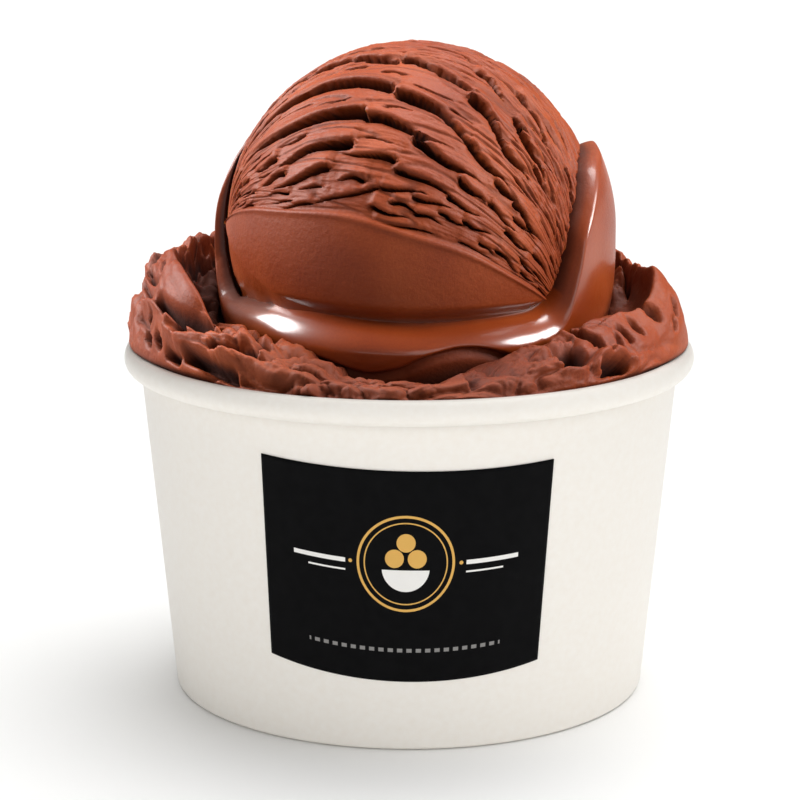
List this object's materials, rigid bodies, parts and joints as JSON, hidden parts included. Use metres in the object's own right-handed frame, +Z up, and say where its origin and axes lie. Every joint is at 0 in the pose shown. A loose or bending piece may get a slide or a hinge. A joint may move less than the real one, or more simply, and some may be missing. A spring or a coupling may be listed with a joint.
{
  "type": "gelato cup",
  "caption": "Paper cup with a rolled rim and a dark label, heaped with chocolate gelato: a ridged round scoop in a smooth collar on a craggy bed.",
  "frame": {"origin": "on the cup's axis, in the plane that its foot stands on", "axes": "+Z is up along the cup's axis; the label faces -Y; +X is to the right of a person who faces the label"},
  "size_m": [0.095, 0.095, 0.1083],
  "materials": {
    "cup_paper": "smooth coated white board",
    "label_paper": "satin black printed paper",
    "chocolate_gelato": "satin, dense and slightly moist"
  },
  "bodies": {
    "root": {"cup_wall": "cup_paper", "cup_base": "cup_paper", "label": "label_paper", "gelato_scoop": "chocolate_gelato", "gelato_bed": "chocolate_gelato"}
  },
  "joints": []
}
